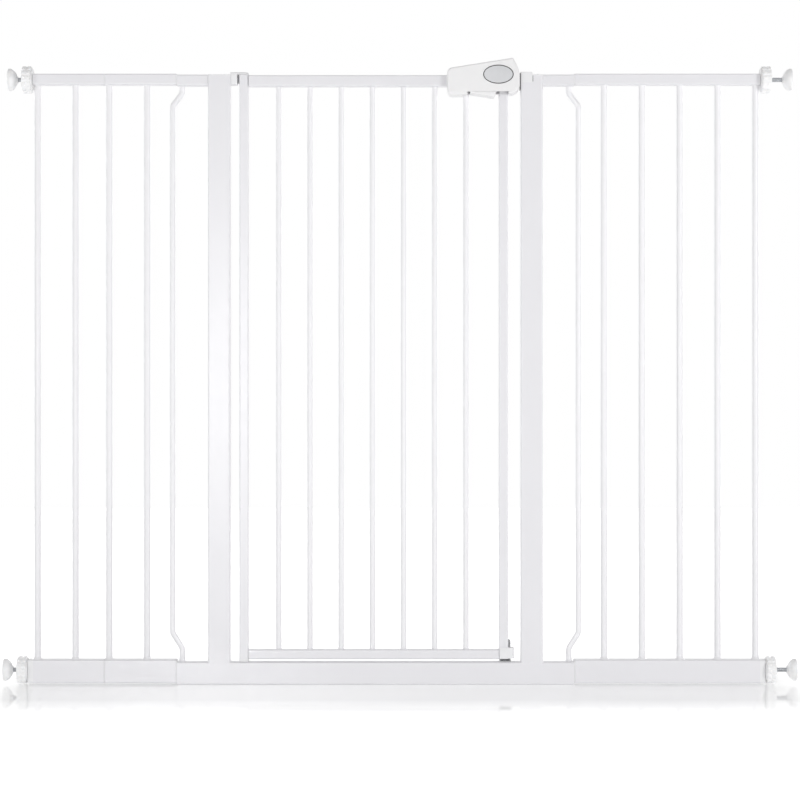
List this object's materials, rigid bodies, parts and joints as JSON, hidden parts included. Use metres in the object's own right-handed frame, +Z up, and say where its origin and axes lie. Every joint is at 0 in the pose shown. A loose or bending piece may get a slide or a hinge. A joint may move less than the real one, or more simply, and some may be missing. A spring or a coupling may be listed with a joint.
{
  "type": "safety baby gate",
  "caption": "Extra-tall white pressure-fit safety gate with a swinging barred door, squeeze latch, extension panels and screw adjusters with wall pads.",
  "frame": {"origin": "on the floor, midway between the outer faces of the wall pads and centred through the depth", "axes": "+X along the gate to the right as it is faced, +Y through the gate away from the viewer, +Z up"},
  "size_m": [1.3516, 0.046, 1.0647],
  "materials": {
    "white_powder_coat": "smooth satin powder coat",
    "white_fitting_plastic": "matt moulded",
    "white_latch_plastic": "fine satin moulding",
    "milky_plastic": "milky, slightly translucent",
    "zinc_steel": "bright zinc",
    "dark_steel": "dark phosphated",
    "badge_silver": "silver-grey, bare",
    "dark_nylon": "self-coloured nylon"
  },
  "bodies": {
    "frame": {"base_rail": "white_powder_coat", "hinge_post": "white_powder_coat", "latch_post": "white_powder_coat", "hinge_post_cap": "white_fitting_plastic", "left_top_stub": "white_powder_coat", "right_top_stub": "white_powder_coat", "left_bent_bar": "white_powder_coat", "right_bent_bar": "white_powder_coat", "striker": "white_fitting_plastic", "striker_buffer": "dark_nylon", "striker_screw": "zinc_steel", "top_hinge_bracket": "white_fitting_plastic", "hinge_bracket_screws": "zinc_steel", "top_hinge_pin": "zinc_steel", "bottom_hinge_pin": "zinc_steel", "stop_plate": "dark_steel", "stop_plate_rivets": "zinc_steel", "left_inner_top_rail": "white_powder_coat", "left_inner_bottom_rail": "white_powder_coat", "left_inner_bars": "white_powder_coat", "left_outer_top_rail": "white_powder_coat", "left_outer_bottom_rail": "white_powder_coat", "left_outer_bars": "white_powder_coat", "right_top_rail": "white_powder_coat", "right_bottom_rail": "white_powder_coat", "right_bars": "white_powder_coat", "top_couplers": "white_fitting_plastic", "bottom_couplers": "white_fitting_plastic", "top_end_bushes": "white_fitting_plastic", "bottom_end_bushes": "white_fitting_plastic"},
    "door": {"hinge_stile": "white_powder_coat", "latch_stile": "white_powder_coat", "door_top_rail": "white_powder_coat", "door_bottom_rail": "white_powder_coat", "door_bars": "white_powder_coat", "top_hinge_bush": "white_fitting_plastic", "bottom_hinge_bush": "white_fitting_plastic", "door_foot_cap": "white_fitting_plastic", "latch_front_shell": "white_latch_plastic", "latch_back_shell": "white_latch_plastic", "latch_screws": "zinc_steel", "badge_plate": "badge_silver", "trigger_pin": "zinc_steel", "bolt_spring": "zinc_steel"},
    "trigger": {"trigger": "white_latch_plastic", "cross_pin": "zinc_steel"},
    "latch_bolt": {"latch_bolt": "dark_nylon"},
    "left_top_nut": {"left_top_wheel": "milky_plastic"},
    "left_top_screw": {"left_top_spindle": "zinc_steel", "left_top_cup": "milky_plastic"},
    "left_bottom_nut": {"left_bottom_wheel": "milky_plastic"},
    "left_bottom_screw": {"left_bottom_spindle": "zinc_steel", "left_bottom_cup": "milky_plastic"},
    "right_top_nut": {"right_top_wheel": "milky_plastic"},
    "right_top_screw": {"right_top_spindle": "zinc_steel", "right_top_cup": "milky_plastic"},
    "right_bottom_nut": {"right_bottom_wheel": "milky_plastic"},
    "right_bottom_screw": {"right_bottom_spindle": "zinc_steel", "right_bottom_cup": "milky_plastic"}
  },
  "joints": [
    {"name": "door_swing", "type": "hinge", "parent": "frame", "child": "door", "pos_m": [-0.26575, 0, 0.538], "axis": [0, 0, -1], "range_deg": [0, 90]},
    {"name": "trigger_squeeze", "type": "hinge", "parent": "door", "child": "trigger", "pos_m": [0.12225, 0, 1.0128], "axis": [0, -1, 0], "range_deg": [0, 12], "stiffness_Nm_per_rad": 0.8, "springref_deg": -14.32},
    {"name": "bolt_slide", "type": "slide", "parent": "door", "child": "latch_bolt", "axis": [1, 0, 0], "range_m": [-0.006, 0], "deforming": ["bolt_spring"]},
    {"name": "left_top_wheel_turn", "type": "hinge", "parent": "frame", "child": "left_top_nut", "pos_m": [-0.63775, 0, 1.03], "axis": [1, 0, 0], "range_deg": [-1350, 5850]},
    {"name": "left_top_spindle_slide", "type": "slide", "parent": "frame", "child": "left_top_screw", "axis": [-1, 0, 0], "range_m": [-0.0075, 0.0325]},
    {"name": "left_bottom_wheel_turn", "type": "hinge", "parent": "frame", "child": "left_bottom_nut", "pos_m": [-0.64575, 0, 0.024], "axis": [1, 0, 0], "range_deg": [-1350, 5850]},
    {"name": "left_bottom_spindle_slide", "type": "slide", "parent": "frame", "child": "left_bottom_screw", "axis": [-1, 0, 0], "range_m": [-0.0075, 0.0325]},
    {"name": "right_top_wheel_turn", "type": "hinge", "parent": "frame", "child": "right_top_nut", "pos_m": [0.63775, 0, 1.03], "axis": [-1, 0, 0], "range_deg": [-3474, 3726]},
    {"name": "right_top_spindle_slide", "type": "slide", "parent": "frame", "child": "right_top_screw", "axis": [1, 0, 0], "range_m": [-0.0193, 0.0207]},
    {"name": "right_bottom_wheel_turn", "type": "hinge", "parent": "frame", "child": "right_bottom_nut", "pos_m": [0.64575, 0, 0.024], "axis": [-1, 0, 0], "range_deg": [-3474, 3726]},
    {"name": "right_bottom_spindle_slide", "type": "slide", "parent": "frame", "child": "right_bottom_screw", "axis": [1, 0, 0], "range_m": [-0.0193, 0.0207]}
  ],
  "couplings": [
    {"joint": "bolt_slide", "follows": "trigger_squeeze", "m_per_rad": -0.028143},
    {"joint": "left_top_spindle_slide", "follows": "left_top_wheel_turn", "m_per_rad": 0.00031831},
    {"joint": "left_bottom_spindle_slide", "follows": "left_bottom_wheel_turn", "m_per_rad": 0.00031831},
    {"joint": "right_top_spindle_slide", "follows": "right_top_wheel_turn", "m_per_rad": 0.00031831},
    {"joint": "right_bottom_spindle_slide", "follows": "right_bottom_wheel_turn", "m_per_rad": 0.00031831}
  ]
}
